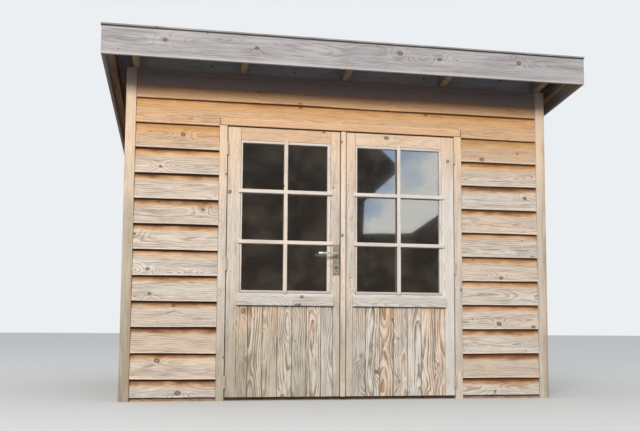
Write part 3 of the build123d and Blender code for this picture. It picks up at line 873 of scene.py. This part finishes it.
panel_young = ((244, 206, 166), (186, 130, 88))
panel_old = ((244, 234, 219), (143, 121, 98))
panel_finish = wood_finish(
    "panel_wood", in_board, panel_young, panel_old, streaked,
    ring=0.013, relief=0.0008, stain=wet_joints,
)
for side in ("left", "right"):
    low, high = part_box(f"{side}_door_panel")
    first = low.x + panel_first[side]
    cuts = np.array([low.x, *np.arange(first, high.x - narrowest_board, panel_cover), high.x])
    middles = ((cuts[:-1] + cuts[1:]) / 2)[:, None, None]
    widths = np.diff(cuts) - panel_joint
    depth = high.y - low.y
    outlines = np.array([eased_outline(width, depth, panel_bevel) for width in widths])[:, None]
    shape = (len(widths), panel_stations, outlines.shape[2])
    x = np.broadcast_to(outlines[..., 0] + middles, shape)
    y = low.y + np.broadcast_to(outlines[..., 1], shape)
    z = np.broadcast_to(np.linspace(low.z, high.z, panel_stations)[:, None], shape)
    own = np.stack([z, x - middles, y - low.y], axis=-1)
    random, bias = dice.random((2, len(widths), 1, 1))
    lot = [np.broadcast_to(values, shape) for values in (random, clear_of_joint, bias)]
    rings = np.stack([x, y, z], axis=-1)
    boards = loft(f"{side}_panel_boards", rings, own, np.stack(lot, axis=-1), panel_finish)
    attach(boards, f"{side}_leaf")
    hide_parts(f"{side}_door_panel")


# Weatherboards over the panels: planed, with a sloped top and a drip groove. The rain that runs
# off the panes has bleached them.
bleached = ((218, 212, 204), (186, 178, 168))


def washed(grain):
    return grain.cloud * 0.6 + 0.8


weatherboard_young = ((222, 206, 186), (190, 168, 142))
board_low, board_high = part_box("left_door_weatherboard")
board_places = lying("xzy", (board_low.z + board_high.z) / 2, face=board_low.y, seed=9.0)
dress(["left_door_weatherboard", "right_door_weatherboard"], wood_finish(
    "weatherboard_wood", board_places, weatherboard_young, bleached, washed, ring=0.010
))


# Glass: one clear pane in each leaf, in front of a dark inside. It mirrors the sky sharply, but
# for a faint film of dirt.
pane = Recipe(bpy.data.materials.new("window_glass"))
film = pane.field("TexNoise", {"Scale": 3.0, "Detail": 3.0})
dress(["left_door_glass", "right_door_glass"], pane.principled({
    "Base Color": paint(236, 240, 240),
    "Roughness": film.between(0.4, 0.8) * 0.006,
    "IOR": 2.4,
    "Transmission Weight": 1.0,
    "Coat Weight": 1.0,
    "Coat IOR": 2.3,
}))


# Glazing beads and bars: pale planed laths. Mitred beads hold each pane in its rebate, and the
# bars, halved together, are pinned over the glass and the frame, to look like small panes.
widest_bead = 0.022
bead_widths = {"left": (0.012, widest_bead), "right": (0.013, 0.017)}
bead_top = 0.018
bead_set_back = 0.0015
bead_gap = 0.0018
bead_round = 0.004
bar_width = 0.026
bar_thickness = 0.012
bar_bevel = 0.003
bar_lap = 0.014
bar_foot_lap = 0.016
bar_head_lap = 0.010
bar_spacing = 0.354
bar_shift = -0.0025
bar_sink = 0.001
lath_young = ((242, 224, 204), (222, 196, 170))
lath_old = ((230, 220, 209), (201, 188, 174))


def lightly_greyed(grain):
    rained = grain.x.between(-0.2, 0.3) * (1 - grain.height.between(1.3, 1.7))
    return grain.cloud * 1.2 + 0.45 + rained * 0.5


def wet_foot(low, share, wet):
    """Grey where rain stands on the lowest beads, and a brown foot on the upright bars: damp wood
    with painted contact shade.
    """
    def stain(colour, grain):
        return colour.under((1 - grain.height.between(low, 0.765)) * share, wet)

    return stain


grey_sill = wet_foot(0.735, 0.9, (168, 160, 154))
# The upright bars' brown foot: damp wood, with painted contact shade where they end.
brown_foot = wet_foot(0.722, 0.6, (120, 96, 74))
lath = (in_board, lath_young, lath_old, lightly_greyed, 0.006)
bead_finish = wood_finish("bead_wood", *lath, stain=grey_sill, figure=0.4)
bar_finish = wood_finish("bar_wood", *lath, stain=brown_foot, figure=0.4)


def beads(side):
    """Four mitred beads round a pane: each corner of their outline moves from the opening's corner
    towards the sight's corner by its share of the bead's width."""
    low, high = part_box(f"{side}_door_glass")
    left_bead, right_bead = bead_widths[side]
    corners = np.array([(low.x, low.z), (high.x, low.z), (high.x, high.z), (low.x, high.z)])
    inwards = np.array([(1, 1), (-1, 1), (-1, -1), (1, -1)])
    sides = (left_bead, right_bead, right_bead, left_bead)
    widths = np.array([(width, bead_top) for width in sides])
    inner = corners + inwards * widths
    outer = corners + inwards * bead_gap
    front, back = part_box(f"{side}_door_stiles")[0].y + bead_set_back, low.y - 0.0002
    round_share = bead_round / widest_bead
    outline = np.array([
        (0, back),
        (0, front),
        (1 - round_share, front),
        (1 - round_share * 0.3, front + bead_round * 0.3),
        (1, front + bead_round),
        (1, back),
    ])
    rings, own = [], []
    for corner in range(4):
        ends = [corner, (corner + 1) % 4]
        spots = outer[ends][:, None] + outline[:, 0, None] * (inner - outer)[ends][:, None]
        depth = np.broadcast_to(outline[:, 1], spots.shape[:2])
        rings.append(np.stack([spots[..., 0], depth, spots[..., 1]], axis=-1))
        own.append(np.stack([spots[..., corner % 2], spots[..., 1 - corner % 2], depth], axis=-1))
    return np.array(rings), np.array(own)


def bars(side):
    """One upright bar and two across it, each a bevelled lath."""
    low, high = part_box(f"{side}_door_glass")
    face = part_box(f"{side}_door_stiles")[0].y
    centre = (low.z + high.z) / 2 + bar_shift
    upright_run = (low.z - bar_foot_lap, high.z + bar_head_lap)
    flat_run = (low.x - bar_lap, high.x + bar_lap)
    outline = eased_outline(bar_width, bar_thickness, bar_bevel)
    rings, own = [], []
    for run, spot, sunk in (
        (upright_run, (low.x + high.x) / 2 + bar_shift, bar_sink),
        (flat_run, centre - bar_spacing / 2, 0),
        (flat_run, centre + bar_spacing / 2, 0),
    ):
        along = np.broadcast_to(np.array(run)[:, None], (2, len(outline)))
        across = np.broadcast_to(outline[:, 0] + spot, along.shape)
        through = np.broadcast_to(outline[:, 1], along.shape)
        thinned = through * (bar_thickness - sunk) / bar_thickness
        depth = face - bar_thickness + thinned + sunk
        rings.append(np.stack([across, depth, along] if sunk else [along, depth, across], axis=-1))
        own.append(np.stack([along, across - spot, through], axis=-1))
    return np.array(rings), np.array(own)


for side in ("left", "right"):
    for name, (rings, own), finish in (
        (f"{side}_glazing_beads", beads(side), bead_finish),
        (f"{side}_glazing_bars", bars(side), bar_finish),
    ):
        laths = loft(name, rings, own, lots(len(rings)), finish)
        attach(laths, f"{side}_leaf")


# Hinges: zinc-plated barrels on flags let into the wood, three to a leaf. Outdoors they have
# dulled to a warm grey.
zinc = metal_finish("dull_zinc", (214, 198, 176), (172, 156, 134), 0.3, 0.5, 120.0)
dress(["frame_hinges", "left_door_hinges", "right_door_hinges"], zinc)


# Handle: long plates of aged bronze inside and out, and a lever that hands have kept bright. The
# round face of the lock's cylinder stands a little proud of the outer plate.
bronze = metal_finish("aged_bronze", (168, 158, 138), (120, 110, 92), 0.8, 0.45, 90.0)
bright = metal_finish("bright_lever", (226, 220, 204), (196, 188, 168), 0.9, 0.25, 60.0)
dress(["handle_plates"], bronze)
dress(["door_lever"], bright)
plate_low, plate_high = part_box("handle_plates")
cylinder_radius = 0.0105
cylinder_proud = 0.002
cylinder_rise = 0.052
cylinder_place = ((plate_low.x + plate_high.x) / 2, plate_low.y, plate_low.z + cylinder_rise)
lock_face = metal_finish("lock_face", (118, 108, 90), (72, 64, 52), 0.8, 0.4, 140.0)
cylinder = domes(
    "lock_cylinder", [(cylinder_place, (0, -1, 0))], cylinder_radius, cylinder_proud, lock_face, 24
)
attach(cylinder, "left_leaf")


# Roof timbers: sawn joists over the walls, fly rafters inside the side fascias, and blocks between
# the joists. Outside the walls they have gone brown and grey.
soffit_young = ((196, 170, 142), (160, 134, 108))
soffit_old = ((176, 164, 152), (140, 128, 116))
soffit_dry = (soffit_young, soffit_old, under_cover)
soffit = wood_finish("roof_timber_y", lying("yxz", 0, timber_pitch), *soffit_dry)
dress(["roof_joists", "left_fly_rafter", "right_fly_rafter"], soffit)
block_middle = seat_height + 0.05
dusty = ((212, 208, 210), (184, 180, 182))
block_places = lying("xzy", block_middle, face=front_face, seed=12.0)
blocks = wood_finish("eaves_block_wood", block_places, dusty, dusty, under_cover, figure=0.5)
dress(["front_eaves_blocks", "back_eaves_blocks"], blocks)


# Roof boards: tongue and groove boards across the joists, with their V joints to the inside. Under
# the eaves they are grey with dust.
roof_count = 24
roof_thickness = 0.020
roof_bevel = 0.003
roof_low, roof_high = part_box("roof_boards")
joists_low, joists_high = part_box("roof_joists")
lower_front = seat_at(roof_low.y) + (joists_high.z - seat_at(joists_low.y))
roof_run = (roof_low.x, roof_high.x)
roof_length = (roof_high.y - roof_low.y) / cos(lean)
along, across, through, own = planks(
    roof_count, 0, roof_length, roof_run, roof_thickness - clearance, roof_bevel
)
y = roof_low.y + across * cos(lean) + through * sin(lean)
z = lower_front - across * sin(lean) + through * cos(lean)
deck_young = ((176, 166, 166), (148, 138, 138))
deck_old = ((172, 164, 166), (142, 136, 138))
deck = wood_finish("roof_board_wood", in_board, deck_young, deck_old, under_cover)
rings = np.stack([along, y, z], axis=-1)
roof_planks = loft("roof_planks", rings, own, lots(roof_count), deck)
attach(roof_planks, "shed")
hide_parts("roof_boards")


# Roof covering: one sheet of black rubber glued to the boards, faintly wrinkled. Dust has settled
# on it in patches.
sheet = Recipe(bpy.data.materials.new("black_rubber_sheet"))
where = sheet.field("TexCoord", output="Object")
dust = sheet.noise(where, 2.2, 6.0, 0.6)
pebble = sheet.noise(where, 240.0)
relief = dust * 3 + pebble * 0.2
bump = sheet.field("Bump", {"Height": relief, "Distance": 0.002, "Strength": 0.7})
colour = dust.between(0.4, 0.75).blend((44, 45, 47), (92, 90, 86))
rubber = sheet.principled({"Base Color": colour, "Roughness": dust * 0.3 + 0.55, "Normal": bump})
dress(["roof_covering"], rubber)


# Fascias: wide planed boards nailed to the joist ends and fly rafters. They stand out in the
# weather and have turned silver, with the rings showing as fine darker lines round the knots.
silver_young = ((180, 172, 166), (158, 149, 143))
silver_old = ((177, 172, 171), (146, 142, 141))


def silvered(grain):
    return grain.cloud * 0.7 + 0.85


fascia_width = 0.187


def dark_top(colour, grain):
    """Dirt that the roof sheet's edge leaves along the top, and a bleached edge at the foot."""
    foot = 1 - grain.across.between(-0.088, -0.066)
    top = grain.across.between(0.0865, 0.0905)
    return colour.under(foot * 0.6, (206, 199, 194)).under(top * 0.9, (46, 44, 44))


falls = {"front": 0, "back": 0, "left": slope, "right": slope}
for number, (side, fall) in enumerate(falls.items()):
    low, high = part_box(f"{side}_fascia")
    order, face, middle = "xzy", low.y, low.z + fascia_width / 2
    if fall:
        order, face = "yzx", low.x
        middle = (low.z + high.z) / 2 + (low.y + high.y) / 2 * fall
    fascia_places = lying(order, middle, face=face, seed=10.0 + number, fall=fall)
    dress([f"{side}_fascia"], wood_finish(
        f"{side}_fascia_wood", fascia_places, silver_young, silver_old, silvered,
        ring=0.013, rough=0.82, relief=0.0007, stain=dark_top, figure=0.8,
    ))


# Laths on the roof's edge: thin rough laths nailed down over the sheet. They have turned grey, and
# moss grows on them in patches.
def moss(colour, grain):
    """Olive moss on the laths, most at the left end."""
    growth = (grain.cloud * 2.2 + 0.35 - grain.x.between(-1.7, -0.2) * 0.8).limited()
    return colour.under(growth * 0.75, (104, 102, 74))


edge_old = ((176, 170, 164), (122, 114, 106))
dress(["roof_edge_laths"], wood_finish(
    "edge_lath_wood", lying("xyz", 0, 0.5), silver_young, edge_old, silvered,
    ring=0.006, rough=0.85, relief=0.0008, stain=moss,
))
